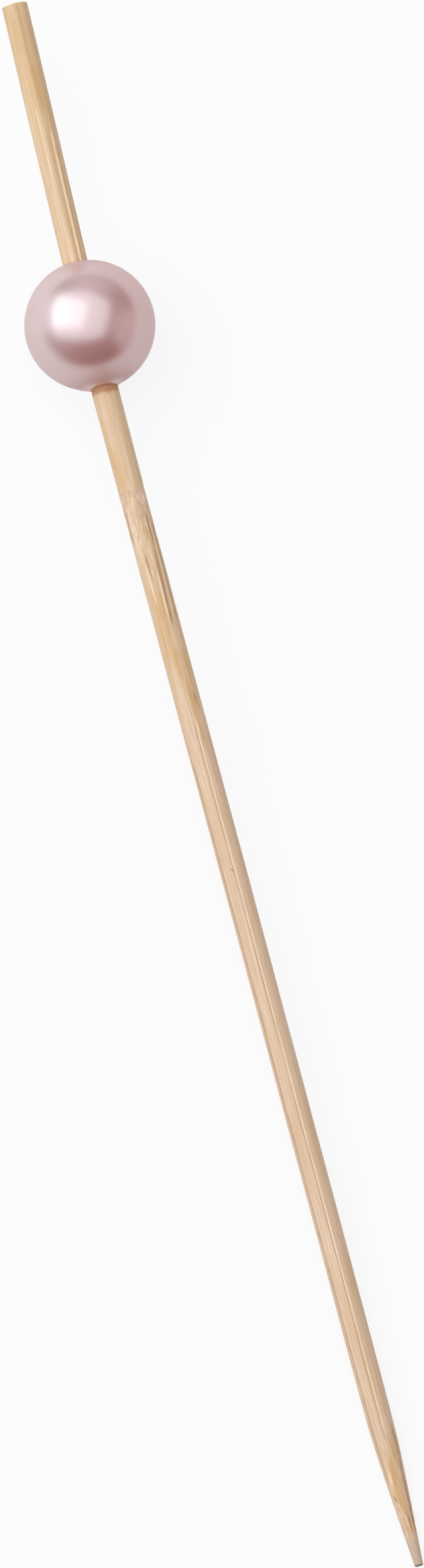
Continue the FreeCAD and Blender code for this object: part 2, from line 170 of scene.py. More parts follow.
RIDGES = (
    (*FLAT_RIDGE, 0.060, 0.012),
    (9.5, 24.0, 31.5, 31.5, 0.055, 0.016),
    (9.5, 24.0, -15.0, -15.0, 0.040, 0.010),
    (37.3, 39.8, 4.0, -19.0, 0.045, 0.016),
    (38.8, 41.6, 27.5, 27.0, 0.050, 0.018),
    (39.4, 47.8, 48.0, 44.5, 0.055, 0.018),
    (41.8, 44.0, 9.0, 12.5, 0.055, 0.014),
    (43.6, 48.0, 18.5, 15.0, 0.050, 0.018),
    (42.8, 46.8, -24.0, -20.5, 0.050, 0.014),
    (0.0, 24.0, 2.6, 2.6, 0.060, 0.008),
)

# Such a line fades in and out over this length, or over this share of its own if that is less
LINE_FADE = 1.2
LINE_FADE_SHARE = 0.45

# Marks in the wood, and painted light: the brown, dark and gold lines that lie along the grooves
# are painted shade in them, and the pale lines along the ridges are painted highlights on them.
# Kind, start, end, angle at the start and at the end, width, strength
MARKS = (
    ("brown_and_shade", *FLAT_FURROW, 0.045, 0.60),
    ("brown_and_shade", *FLAT_EDGE, 0.060, 0.75),
    ("pale_and_highlight", *FLAT_RIDGE, 0.065, 0.90),
    ("pale_and_highlight", 55.0, 57.2, 15.0, 12.0, 0.080, 0.80),
    ("pink", 31.8, 33.6, -24.0, -22.0, 0.110, 0.70),
    ("gold", 33.8, 38.4, -50.0, -26.0, 0.300, 0.35),
    ("brown_and_shade", 38.3, 42.2, -63.0, -60.0, 0.110, 0.60),
    ("pale_and_highlight", 38.2, 43.6, -42.0, -36.0, 0.240, 0.45),
    ("pale_and_highlight", 37.2, 39.9, 4.0, -19.0, 0.045, 0.85),
    ("pale_and_highlight", 38.8, 40.7, -2.0, -20.0, 0.040, 0.75),
    ("pale_and_highlight", 39.7, 41.4, 10.0, -4.0, 0.040, 0.70),
    ("pale_and_highlight", 40.6, 42.4, -8.0, -27.0, 0.045, 0.80),
    ("gold", 39.2, 42.0, 15.0, 16.0, 0.130, 0.55),
    ("pale_and_highlight", 38.8, 41.6, 27.5, 27.0, 0.045, 0.80),
    ("brown_and_shade", 38.8, 42.0, 23.5, 23.5, 0.045, 0.45),
    ("brown_and_shade", 39.2, 42.4, 34.5, 41.5, 0.070, 0.85),
    ("pale_and_highlight", 39.4, 47.8, 48.0, 44.5, 0.055, 0.75),
    ("brown_and_shade", 39.6, 48.3, 61.0, 61.0, 0.100, 0.60),
    ("gold", 38.3, 43.4, 20.0, 38.0, 0.130, 0.60),
    ("brown_and_shade", 41.8, 45.0, -16.0, -11.5, 0.055, 0.90),
    ("pale_and_highlight", 43.1, 44.7, -3.5, -3.5, 0.050, 0.60),
    ("pale_and_highlight", 41.8, 44.0, 9.0, 12.5, 0.070, 0.90),
    ("brown_and_shade", 42.0, 48.6, 34.0, 26.5, 0.095, 0.95),
    ("pale_and_highlight", 43.6, 48.0, 18.5, 15.0, 0.070, 0.95),
    ("pale_and_highlight", 42.8, 46.8, -24.0, -20.5, 0.070, 0.95),
    ("gold", 44.6, 51.2, -30.0, -33.0, 0.110, 0.65),
    ("gold", 45.0, 50.2, 4.0, -1.0, 0.110, 0.85),
    ("gold", 43.0, 50.0, 53.0, 50.0, 0.090, 0.50),
    ("gold", 45.5, 52.0, -24.0, -12.0, 0.340, 0.35),
    ("gold", 49.0, 53.0, 1.0, 4.0, 0.190, 0.70),
    ("gold", 49.4, 55.4, 42.0, 44.0, 0.180, 0.65),
    ("gold", 51.5, 57.8, 20.0, 23.0, 0.180, 0.70),
    ("brown_and_shade", 53.1, 54.5, 36.0, 37.0, 0.080, 0.60),
    ("gold", 0.4, 4.6, -24.0, -30.0, 0.300, 0.35),
    ("gold", 4.4, 8.8, 20.0, 26.0, 0.300, 0.50),
    ("gold", 9.5, 24.0, 20.0, 20.0, 0.060, 0.80),
    ("gold", 10.5, 24.0, 44.0, 45.0, 0.075, 0.85),
    ("pale_and_highlight", 9.5, 24.0, 31.5, 31.5, 0.070, 1.00),
    ("pale_and_highlight", 7.5, 15.0, -15.0, -15.0, 0.050, 0.95),
    ("pale_and_highlight", 13.0, 24.0, -13.0, -12.0, 0.040, 0.50),
    ("brown_and_shade", 73.6, 75.4, 30.0, 30.0, 0.040, 0.40),
    ("dark_and_shade", 66.75, 67.15, -12.0, 6.0, 0.045, 0.90),
    ("gold", 110.0, 113.0, 20.0, 28.0, 0.170, 0.80),
    ("brown_and_shade", 109.0, 112.6, 52.0, 54.0, 0.140, 0.55),
    ("brown_and_shade", 111.4, 118.0, 50.0, 56.0, 0.110, 0.75),
    ("gold", 111.2, 116.4, 2.0, -16.0, 0.210, 0.90),
    ("gold", 113.4, 117.2, 10.0, 16.0, 0.200, 0.60),
    ("pale_and_highlight", 112.6, 114.2, -27.0, -28.0, 0.080, 0.90),
    ("dark_and_shade", 114.5, 115.3, -48.0, -26.0, 0.055, 1.00),
    ("pale_and_highlight", 114.9, 116.0, -24.0, -20.0, 0.060, 0.60),
    ("pale_and_highlight", 115.9, 117.4, 0.0, 2.0, 0.060, 0.60),
    ("brown_and_shade", 115.8, 118.0, 18.0, 26.0, 0.090, 0.80),
    ("gold", 115.6, 118.4, -14.0, -12.0, 0.120, 0.60),
)

# The colour of each kind of mark, painted shade and highlights among them, as on a screen, in the
# order in which they are laid on
MARK_TINTS = {
    "gold": (204, 156, 94),
    "brown_and_shade": (156, 106, 64),
    "pale_and_highlight": (243, 216, 182),
    "pink": (220, 176, 158),
    "dark_and_shade": (104, 68, 44),
}

# Rough places: start, end, fade, height of the bumps, their length, how many round the stick, seed
ROUGH_PLACES = (
    (36.6, 42.8, 1.3, 0.011, 0.60, 20, 11),
    (37.2, 42.2, 1.2, 0.010, 0.26, 40, 12),
    (55.3, 56.4, 0.4, 0.010, 0.30, 30, 13),
    (115.0, 118.0, 0.7, 0.018, 0.36, 22, 14),
)

# Scuffed places, where the wood is greyer and torn: start, end, fade and strength
SCUFFED_PLACES = ((36.6, 42.8, 1.6, 1.0), (115.0, 118.2, 0.9, 0.7))

# The wood's yellower tone: where it is gone, where it is full, and its strength
WARM_PLACES = ((58.0, 50.0, 0.60), (14.0, 8.0, 0.40), (109.5, 112.0, 0.35))

# The point's end turns grey between these places
TIP_GREYING = (117.3, 118.6)

# The seat just outside the bead's lower mouth, a brown stain with painted contact shadow from the
# bead: where it fades in, where it ends, the waves of that end, and how it fades out from there
SEAT_START = (29.2, 29.6)
SEAT_END = 30.0
SEAT_WAVES = ((3, 0.5, 0.05), (8, 0.0, 0.04))
SEAT_FADE = (-0.08, 0.18)

# The darker outer wood that is left, and painted shade on the sides turned from the light: its
# stretch and fade beside the long flat, the angles between which it sets in on the right, and how
# far it sets in beyond the flat's left edge
SKIN_SHADE_STRETCH = (55.5, 111.8, 1.5)
SKIN_SHADE_RIGHT = (10.0, 16.0)
SKIN_SHADE_LEFT = (-1.0, -6.0)

# Painted shade on one side of the butt, the side turned from the light: the angles, and the places
# between which it sets in
BUTT_SHADE_RIGHT = (2.0, 8.0)
BUTT_SHADE_ALONG = (29.5, 27.0)

# Fibres: length of one, how many round the stick, height and seed
FIBRES = ((11.0, 9, 0.0045, 1), (16.0, 34, 0.0040, 2), (9.0, 70, 0.0035, 3), (4.0, 120, 0.0020, 4))

# Rings of the mesh: start and end of each stretch, and the step between its rings, which is small
# where the shape changes quickly
RING_STEPS = (
    (0.08, 29.0, 0.21), (29.0, 37.0, 0.16), (37.0, 43.0, 0.085), (43.0, 55.0, 0.20),
    (55.0, 57.0, 0.09), (57.0, 66.5, 0.23), (66.5, 67.5, 0.07), (67.5, 109.0, 0.23),
    (109.0, 119.8, 0.085),
)
AROUND_COUNT = 128
TOP_CROWDING = 0.42

# Rings that close an end: share of the stick's radius, and distance along from the end
BUTT_RINGS = (
    (0.15, 0.010), (0.35, 0.004), (0.55, 0.008), (0.75, 0.002), (0.90, 0.004), (0.955, 0.006),
    (0.985, 0.030),
)
TIP_RINGS = (
    (0.985, -0.130), (0.95, -0.060), (0.86, -0.018), (0.65, -0.004), (0.35, 0.0), (0.12, -0.006),
)

# How rough each cut end is, the seed of that roughness, and how far the end slants sideways
BUTT_FINISH = (0.012, 21, -0.020)
TIP_FINISH = (0.006, 22, 0.0)

# An end is rough up to the first share of the radius, and shows cut wood up to the second
ROUGH_SHARE = 0.93
CUT_SHARE = 0.97


def path_points(along):
    """The axis in the stick's frame, and how far it is turned from the shank's direction."""
    past = along - BEND_FROM_BUTT
    butt = past <= -BEND_REACH
    turning = (past > -BEND_REACH) & (past < BEND_REACH)
    x = np.where(butt, -past * math.sin(BEND), 0.0)
    x = np.where(turning, math.sin(BEND) * (BEND_REACH - past) ** 2 / (4 * BEND_REACH), x)
    y = np.where(past < 0, -past * math.cos(BEND), -past)
    angle = BEND * (1 - np.clip((past + BEND_REACH) / (2 * BEND_REACH), 0, 1))
    return x + np.interp(along, *zip(*DRIFT_PROFILE)), y, angle


def round_radius(along):
    """Radius of the wood before it is planed."""
    return np.interp(along, *zip(*ROUND_PROFILE))


def facet_height(along, around, facet):
    """How far the planed flat is from the axis, in each direction."""
    direction, start, end, first_depth, last_depth, measured_from = facet
    slide = np.clip((along - start) / (end - start), 0, 1)
    run_in = math.sqrt(2 * RUNOUT_RADIUS * first_depth)
    from_start = np.clip(start + run_in - along, 0, None)
    to_end = np.clip(along - (end - run_in), 0, None)
    depth = first_depth + (last_depth - first_depth) * slide
    depth = depth - from_start ** 2 / (2 * RUNOUT_RADIUS) - to_end ** 2 / (2 * RUNOUT_RADIUS)
    wood = round_radius(along) if measured_from is None else measured_from
    facing = np.cos(around - math.radians(direction))
    height = (wood - depth) / np.maximum(facing, FACING_LEAST)
    return np.where(facing > FACING_LEAST, height, OUT_OF_REACH)


def soft_minimum(a, b, softness):
    """The smaller of two values, with the step from one to the other rounded off."""
    share = np.clip(0.5 + 0.5 * (b - a) / softness, 0, 1)
    return b * (1 - share) + a * share - softness * share * (1 - share)


def stripe(along, around, radius, start, end, first, last, width):
    """How strongly a line along the stick covers each point, from 0 to 1."""
    slide = np.clip((along - start) / (end - start), 0, 1)
    middle = np.radians(first + (last - first) * slide)
    across = half_turn(around - middle) * radius
    fade = min(LINE_FADE, (end - start) * LINE_FADE_SHARE)
    return np.exp(-(across / width) ** 2) * window(along, start, end, fade)


def stick_radius(along, around):
    """Radius of the planed, scraped and sharpened wood."""
    radius = round_radius(along)
    for facet in FACETS:
        radius = soft_minimum(radius, facet_height(along, around, facet), EDGE_SOFTNESS)
    for length, count, height, seed in FIBRES:
        radius = radius + height * lattice_noise(along, around, length, count, seed)
    for start, end, fade, height, length, count, seed in ROUGH_PLACES:
        bumps = lattice_noise(along, around, length, count, seed)
        radius = radius + height * bumps * window(along, start, end, fade)
    for *line, depth in GROOVES:
        radius = radius - depth * stripe(along, around, radius, *line)
    for *line, height in RIDGES:
        radius = radius + height * stripe(along, around, radius, *line)
    return radius


def scuffed_share(along):
    """The scuffed node below the bead, and the scuffed end of the point."""
    return sum(strength * window(along, start, end, fade) for start, end, fade, strength in SCUFFED_PLACES)


def warm_share(along):
    """The wood's yellower tone: from the butt to below the node, and again on the point."""
    return sum(strength * smooth_step(gone, full, along) for gone, full, strength in WARM_PLACES)


def seat_shade_share(along, around):
    """The ring outside the bead's lower mouth: a stain with painted contact shadow, and an uneven edge."""
    from_edge = along - SEAT_END - waves(around, SEAT_WAVES)
    return smooth_step(*SEAT_START, along) * (1 - smooth_step(*SEAT_FADE, from_edge))


def skin_and_shade_share(along, degrees):
    """Darker outer wood beside the long flat, and painted shade there and on one side of the butt."""
    start, end, first, last = FLAT_EDGE
    from_edge = degrees - first - (last - first) * (along - start) / (end - start)
    beside = smooth_step(*SKIN_SHADE_RIGHT, degrees) + smooth_step(*SKIN_SHADE_LEFT, from_edge)
    butt = smooth_step(*BUTT_SHADE_RIGHT, degrees) * smooth_step(*BUTT_SHADE_ALONG, along)
    return beside * window(along, *SKIN_SHADE_STRETCH) + butt


def stick_marks(along, around):
    """How strongly each mark, tone of the wood, painted shade and highlight shows at each point."""
    marks = {kind: np.zeros_like(along) for kind in MARK_TINTS}
    for kind, *line, strength in MARKS:
        cover = stripe(along, around, round_radius(along), *line)
        marks[kind] = np.maximum(marks[kind], strength * cover)
    marks["rough"] = scuffed_share(along)
    marks["tip"] = smooth_step(*TIP_GREYING, along)
    # The seat's stain and painted contact shadow from the bead
    marks["seat_shade"] = seat_shade_share(along, around)
    # The darker outer wood, and painted shade on the sides turned from the light
    marks["skin"] = skin_and_shade_share(along, np.degrees(around))
    marks["warm"] = warm_share(along)
    return marks


def around_places():
    """Angles of the points of one ring, closer together on the side that faces up."""
    even = np.linspace(-math.pi, math.pi, AROUND_COUNT, endpoint=False)
    return even - TOP_CROWDING * np.sin(even)


def side_rings():
    """Places along, angles and radii of the rings between the ends. No point is on a cut face."""
    places = np.concatenate([np.arange(*stretch) for stretch in RING_STEPS])
    along, around = np.meshgrid(places, around_places(), indexing="ij")
    return along, around, stick_radius(along, around), np.zeros_like(along)


def end_rings(place, steps, roughness, seed, slant, outline):
    """The same for the rings that close an end, inside the outline of its last ring."""
    around = around_places()
    rng = np.random.default_rng(seed)
    along = []
    for share, reach in steps:
        bumps = roughness * rng.uniform(-1, 1, around.shape) * (share < ROUGH_SHARE)
        along.append(place + reach + bumps + slant * share * np.sin(around))
    shares = np.array([[share] for share, _ in steps])
    angles = np.repeat(around[None, :], len(steps), 0)
    is_cut = np.repeat((shares < CUT_SHARE).astype(float), len(around), 1)
    return np.array(along), angles, shares * outline, is_cut


def with_end_centres(rings):
    """The values of all rings in one list, then the mean of the first ring and of the last."""
    rings = rings.reshape(*rings.shape[:2], -1)
    return np.vstack([rings.reshape(-1, rings.shape[2]), rings[0].mean(0), rings[-1].mean(0)])


def build_ring_mesh(name, points, closed):
    """A mesh of rings of points, joined by quads, and with a fan at each end if it is closed."""
    rings, count = points.shape[:2]
    faces = []
    for ring in range(rings - 1):
        for place in range(count):
            following = (place + 1) % count
            faces.append((ring * count + place, ring * count + following,
                          (ring + 1) * count + following, (ring + 1) * count + place))
    vertices = points.reshape(-1, 3)
    if closed:
        vertices = with_end_centres(points)
        first_centre = rings * count
        last_ring = (rings - 1) * count
        for place in range(count):
            following = (place + 1) % count
            faces.append((following, place, first_centre))
            faces.append((last_ring + place, last_ring + following, first_centre + 1))
    mesh = bpy.data.meshes.new(name)
    mesh.from_pydata(vertices.tolist(), [], faces)
    mesh.validate()
    mesh.shade_smooth()
    piece = bpy.data.objects.new(name, mesh)
    bpy.context.scene.collection.objects.link(piece)
    return piece


def store_numbers(piece, name, values):
    """Give each point of the piece's mesh a number that its material reads by name."""
    layer = piece.data.attributes.new(name, "FLOAT", "POINT")
    layer.data.foreach_set("value", np.asarray(values, np.float32).ravel())


def store_vectors(piece, name, values):
    """Give each point of the piece's mesh a vector that its material reads by name."""
    layer = piece.data.attributes.new(name, "FLOAT_VECTOR", "POINT")
    layer.data.foreach_set("vector", np.asarray(values, np.float32).ravel())


def build_stick():
    """The stick: its two ends and the rings between them as one closed mesh."""
    sides = side_rings()
    outlines = sides[2]
    butt = end_rings(0.0, BUTT_RINGS, *BUTT_FINISH, outlines[0])
    tip = end_rings(PICK_LENGTH, TIP_RINGS, *TIP_FINISH, outlines[-1])
    along, around, radius, is_cut = (np.vstack(rings) for rings in zip(butt, sides, tip))

    x, y, angle = path_points(along)
    across, upward = radius * np.sin(around), radius * np.cos(around)
    points = np.stack([x + across * np.cos(angle), y - across * np.sin(angle), upward], -1)
    piece = build_ring_mesh("bamboo", to_world(points.reshape(-1, 3)).reshape(points.shape), True)

    grain = np.stack([across, upward, along], -1)
    store_vectors(piece, "grain", with_end_centres(grain))
    for kind, values in stick_marks(np.clip(along, 0, PICK_LENGTH), around).items():
        store_numbers(piece, kind, with_end_centres(values))
    store_numbers(piece, "cut_end", with_end_centres(is_cut))
    return piece


# Pearl bead

# Distance from the bore's axis, and how far the surface at the upper mouth is above the true ball
HIGH_MOUTH = (
    (0.95, -0.23), (0.97, -0.12), (1.01, -0.07), (1.08, -0.04), (1.17, -0.022), (1.24, -0.012), (1.31, 0.0),
)

# At the lower mouth the lacquer has run out into a lip. Share of the lip's width, and how far the
# surface is out from the true ball.
LOW_LIP = (
    (-0.06, -0.13), (-0.03, 0.0), (0.0, 0.06), (0.07, 0.087), (0.17, 0.089), (0.43, 0.065),
    (0.71, 0.031), (0.90, 0.005), (1.0, 0.016), (1.11, 0.002), (1.3, 0.0),
)
LIP_START = 1.0
LIP_RADIUS = 1.56
LIP_OFFSET = 0.30
LIP_WAVE = 0.03
LIP_WAVES = ((3, 0.7, 0.5), (7, 2.1, 0.3), (13, 0.0, 0.2))
RIM_HEIGHT = 0.010
RIM_WIDTH = 0.035
RIM_UNEVENNESS = 0.6

# Drops of lacquer at the upper mouth: angle round the bore, and height
DROPS = ((-84.0, 0.10), (66.0, 0.09), (-30.0, 0.03))
DROP_FROM_AXIS = 1.04
DROP_ARC_RADIUS = 1.05
DROP_LENGTH = 0.09
DROP_WIDTH = 0.08
DROPS_START = 0.955

# The mesh: points round the bore, and rings between the mouths, which reach this far from the axis
BEAD_AROUND = 192
BEAD_RINGS = 124
MOUTH_REACH = 2.1

# Distances of a mouth's rings from the bore's axis: the first few, then start, end and step
FIRST_RINGS = (BORE_RADIUS - 0.004, 0.95, 0.96, 0.975)
FINE_RINGS = (0.99, 2.09, 0.024)

# Height from the bead's centre at which the shapes of the mouths start, and the heights down to
# which the skin goes on into the bore
MOUTH_HEIGHT = 4.2
BORE_SKIN = (3.7, -3.8)

# Distances from the bore's axis between which the lacquer turns red and brown towards a mouth,
# where it is thinner and where painted shade lies round the stick. The lower mouth's is wider on
# one side, and the upper mouth's is fainter.
REDDENED = 0.98
LOW_REDDENING, LOW_REDDENING_OFFSET = 1.26, 0.14
HIGH_REDDENING, HIGH_REDDENING_STRENGTH = 1.12, 0.5

# The lip's bare lacquer fades out over this stretch about its edge
BARE_FADE = (0.10, -0.06)

# The worn halo round each mouth: where it fades in from outside and out again inside, and the
# height above the bead's centre from which it is there
HALO_OUTSIDE = (3.4, 1.9)
HALO_INSIDE = (1.3, 1.8)
HALO_HEIGHT = 3.0

# Painted shade: the way in which the pearl's colour turns from cool to darker and rosier, across the
# bead and along it, towards the side that is turned from the light
SHADE_RUN = np.array((0.75, -0.66, 0.0))
SHADE_REACH = 4.6


def bead_grid():
    """Distance from the bore's axis, turn about it and height, for each point of the true ball."""
    mouth = np.concatenate([FIRST_RINGS, np.arange(*FINE_RINGS)])
    first = math.asin(MOUTH_REACH / BEAD_RADIUS)
    turns_down = np.linspace(first, math.pi - first, BEAD_RINGS)
    distances = np.concatenate([mouth, BEAD_RADIUS * np.sin(turns_down), mouth[::-1]])
    mouth_heights = np.sqrt(BEAD_RADIUS ** 2 - mouth ** 2)
    heights = np.concatenate([mouth_heights, BEAD_RADIUS * np.cos(turns_down), -mouth_heights[::-1]])
    turns = np.linspace(0, 2 * math.pi, BEAD_AROUND, endpoint=False)
    radius, turn = np.meshgrid(distances, turns, indexing="ij")
    return radius, turn, np.repeat(heights[:, None], BEAD_AROUND, 1)


def lip_edge(turn):
    """The lip's uneven outer edge, and the wave that makes it so. It is wider towards -X."""
    wave = waves(turn, LIP_WAVES)
    return LIP_RADIUS - LIP_OFFSET * np.sin(turn) + LIP_WAVE * wave, wave


def lower_lip(radius, turn):
    """How far the lip stands out from the true ball, with a thin rim along its edge."""
    edge, wave = lip_edge(turn)
    lip = np.interp((radius - LIP_START) / (edge - LIP_START), *zip(*LOW_LIP))
    return lip + RIM_HEIGHT * (1 + RIM_UNEVENNESS * wave) * np.exp(-((radius - edge) / RIM_WIDTH) ** 2)


def upper_mouth(radius, turn):
    """How far the upper mouth's surface is above the true ball, with its drops of lacquer."""
    height = np.interp(radius, *zip(*HIGH_MOUTH))
    for angle, rise in DROPS:
        near = half_turn(turn - math.radians(angle)) * DROP_ARC_RADIUS
        across = (near / DROP_LENGTH) ** 2 + ((radius - DROP_FROM_AXIS) / DROP_WIDTH) ** 2
        height = height + rise * np.exp(-across) * (radius > DROPS_START)
    return height


def build_bead():
    """The bead, made about its own bore, which lies along Y, and then leant with the butt run."""
    radius, turn, ball = bead_grid()
    is_low = ball < 0
    departure = np.where(is_low, -lower_lip(radius, turn), upper_mouth(radius, turn))
    height = ball + departure * (np.abs(ball) > MOUTH_HEIGHT)
    height[0], height[-1] = BORE_SKIN
    points = np.stack([radius * np.sin(turn), height, radius * np.cos(turn)], -1)

    lean = np.array(Matrix.Rotation(-BEND, 3, "Z"))
    reach = BEND_FROM_BUTT - BEAD_FROM_BUTT
    centre = np.array([math.sin(BEND) * reach, math.cos(BEND) * reach, 0.0])
    placed = points.reshape(-1, 3) @ lean.T + centre
    piece = build_ring_mesh("pearl", to_world(placed).reshape(points.shape), False)

    edge, _ = lip_edge(turn)
    low_reach = LOW_REDDENING + LOW_REDDENING_OFFSET * np.sin(turn)
    low_reddened = smooth_step(low_reach, REDDENED, radius)
    high_reddened = HIGH_REDDENING_STRENGTH * smooth_step(HIGH_REDDENING, REDDENED, radius)
    halo = smooth_step(*HALO_OUTSIDE, radius) * smooth_step(*HALO_INSIDE, radius)
    store_vectors(piece, "own", points)
    store_numbers(piece, "bare", smooth_step(*BARE_FADE, radius - edge) * is_low)
    # Red-brown towards the mouths: thinner lacquer, and painted shade where the bead closes round the stick
    store_numbers(piece, "hole_tint_and_shade", np.where(is_low, low_reddened, high_reddened))
    store_numbers(piece, "halo", halo * (np.abs(ball) > HALO_HEIGHT))
    # Painted shade, darker and rosier towards the side turned from the light
    store_numbers(piece, "rosy_shade", smooth_step(-SHADE_REACH, SHADE_REACH, points @ SHADE_RUN))
    return piece


# Materials

def srgb(red, green, blue):
    """A colour as seen on a screen, from 0 to 255, as the linear one that shaders take."""
    values = [value / 255 for value in (red, green, blue)]
    return tuple(v / 12.92 if v <= 0.04045 else ((v + 0.055) / 1.055) ** 2.4 for v in values) + (1.0,)


class Nodes:
    """Short calls for the few kinds of node that the materials use."""

    def __init__(self, tree):
        self.tree = tree

    def new(self, kind):
        """A new node. Its kind is the end of the type's name, such as Mix for ShaderNodeMix."""
        return self.tree.nodes.new(f"ShaderNode{kind}")

    def link(self, value, socket):
        """Feed a socket from another node's socket, or set it to a number, vector or colour."""
        if isinstance(value, bpy.types.NodeSocket):
            self.tree.links.new(value, socket)
        else:
            socket.default_value = value

    def attribute(self, name, output="Fac"):
        """A number, or with output Vector a vector, that is stored on the mesh."""
        node = self.new("Attribute")
        node.attribute_name = name
        return node.outputs[output]

    def drawn_out(self, vector, share):
        """A vector whose third axis is shortened to a share, which draws noises out along it."""
        node = self.new("Mapping")
        node.inputs["Scale"].default_value = (1.0, 1.0, share)
        self.link(vector, node.inputs["Vector"])
        return node.outputs["Vector"]

    def noise(self, vector, scale, detail=3.0, roughness=0.55):
        node = self.new("TexNoise")
        node.inputs["Scale"].default_value = scale
        node.inputs["Detail"].default_value = detail
        node.inputs["Roughness"].default_value = roughness
        self.link(vector, node.inputs["Vector"])
        return node.outputs["Fac"]

    def cells(self, vector, scale):
        """Distance from the middle of the nearest cell."""
        node = self.new("TexVoronoi")
        node.inputs["Scale"].default_value = scale
        self.link(vector, node.inputs["Vector"])
        return node.outputs["Distance"]

    def math(self, operation, first, second):
        node = self.new("Math")
        node.operation = operation
        self.link(first, node.inputs[0])
        self.link(second, node.inputs[1])
        return node.outputs["Value"]

    def spread(self, value, low, high, new_low=0.0, new_high=1.0):
        """A value between low and high, spread smoothly over a new range."""
        node = self.new("MapRange")
        node.interpolation_type = "SMOOTHSTEP"
        node.inputs["From Min"].default_value = low
        node.inputs["From Max"].default_value = high
        node.inputs["To Min"].default_value = new_low
        node.inputs["To Max"].default_value = new_high
        self.link(value, node.inputs["Value"])
        return node.outputs["Result"]

    def mix(self, share, first, second, blend="MIX"):
        """The first colour, with a share of the second in it or multiplied in."""
        node = self.new("Mix")
        node.data_type = "RGBA"
        node.blend_type = blend
        self.link(share, node.inputs[0])
        self.link(first, node.inputs[6])
        self.link(second, node.inputs[7])
        return node.outputs[2]

    def bump(self, height, distance, strength, normal=None):
        """A bump whose distance is in metres, on top of another one if that is given."""
        node = self.new("Bump")
        node.inputs["Distance"].default_value = distance
        node.inputs["Strength"].default_value = strength
        self.link(height, node.inputs["Height"])
        if normal is not None:
            self.link(normal, node.inputs["Normal"])
        return node.outputs["Normal"]


def new_material(name):
    """An empty material, and the calls that add nodes to it."""
    material = bpy.data.materials.new(name)
    material.use_nodes = True
    material.node_tree.nodes.clear()
    return material, Nodes(material.node_tree)


def add_surface(nodes, shader):
    """Make a shader the material's surface."""
    output = nodes.new("OutputMaterial")
    nodes.link(shader.outputs[0], output.inputs["Surface"])


def plain_bamboo(nodes, grain, fibres, fine):
    """The wood's own colour: light and dark fibres, broad bands, specks and the two tones."""
    broad = nodes.noise(nodes.drawn_out(grain, 0.10), 0.9, detail=2.0)
    specks = nodes.noise(nodes.drawn_out(grain, 0.15), 12.0, detail=2.0)
    colour = nodes.mix(nodes.spread(fibres, 0.28, 0.72), srgb(212, 178, 145), srgb(227, 200, 173))
    colour = nodes.mix(nodes.spread(fine, 0.36, 0.50, 0.35, 0.0), colour, srgb(200, 163, 125))
    colour = nodes.mix(nodes.spread(broad, 0.45, 0.70, 0.0, 0.35), colour, srgb(212, 170, 124))
    colour = nodes.mix(nodes.spread(specks, 0.66, 0.76, 0.0, 0.25), colour, srgb(172, 130, 92))
    colour = nodes.mix(nodes.attribute("warm"), colour, (0.975, 0.96, 0.83, 1.0), "MULTIPLY")
    # The darker outer wood, and painted shade on the sides turned from the light
    return nodes.mix(nodes.attribute("skin"), colour, (0.96, 0.945, 0.915, 1.0), "MULTIPLY")


def scuffed_bamboo(nodes, grain, grit, colour):
    """Patches of greyer wood with torn pale fibres, where the stick is scuffed."""
    patches = nodes.noise(nodes.drawn_out(grain, 0.4), 1.6, detail=2.0)
    torn = nodes.mix(nodes.spread(grit, 0.34, 0.62), srgb(204, 168, 138), srgb(224, 196, 168))
    torn = nodes.mix(nodes.spread(grit, 0.63, 0.72), torn, srgb(246, 228, 208))
    share = nodes.math("MULTIPLY", nodes.attribute("rough"), nodes.spread(patches, 0.38, 0.56, 0.15, 0.85))
    return nodes.mix(share, colour, torn)


def marked_bamboo(nodes, grain, colour):
    """The marks, a little broken along the grain, with painted shade and highlights among them,
    the point's greyer end, and the seat's stain and painted contact shadow.
    """
    breaks = nodes.noise(nodes.drawn_out(grain, 0.12), 7.0, detail=3.0)
    unbroken = nodes.spread(breaks, 0.30, 0.58, 0.55, 1.0)
    # Some marks paint shade along the grooves and highlights along the ridges
    for kind, tint in MARK_TINTS.items():
        colour = nodes.mix(nodes.math("MULTIPLY", nodes.attribute(kind), unbroken), colour, srgb(*tint))
    colour = nodes.mix(nodes.math("MULTIPLY", nodes.attribute("tip"), 0.7), colour, srgb(193, 172, 150))
    # The seat's brown stain and painted contact shadow from the bead
    return nodes.mix(nodes.math("MULTIPLY", nodes.attribute("seat_shade"), 0.85), colour, srgb(178, 124, 82))


def cut_bamboo(nodes, grain, colour):
    """The cut ends, with the open vessels of the wood. The point's end is soiled."""
    vessels = nodes.spread(nodes.cells(nodes.drawn_out(grain, 0.0), 5.2), 0.16, 0.34)
    end_wood = nodes.mix(vessels, srgb(146, 98, 60), srgb(228, 196, 156))
    colour = nodes.mix(nodes.attribute("cut_end"), colour, end_wood)
    soiled = nodes.math("MULTIPLY", nodes.attribute("cut_end"), nodes.attribute("tip"))
    return nodes.mix(soiled, colour, srgb(140, 121, 102))


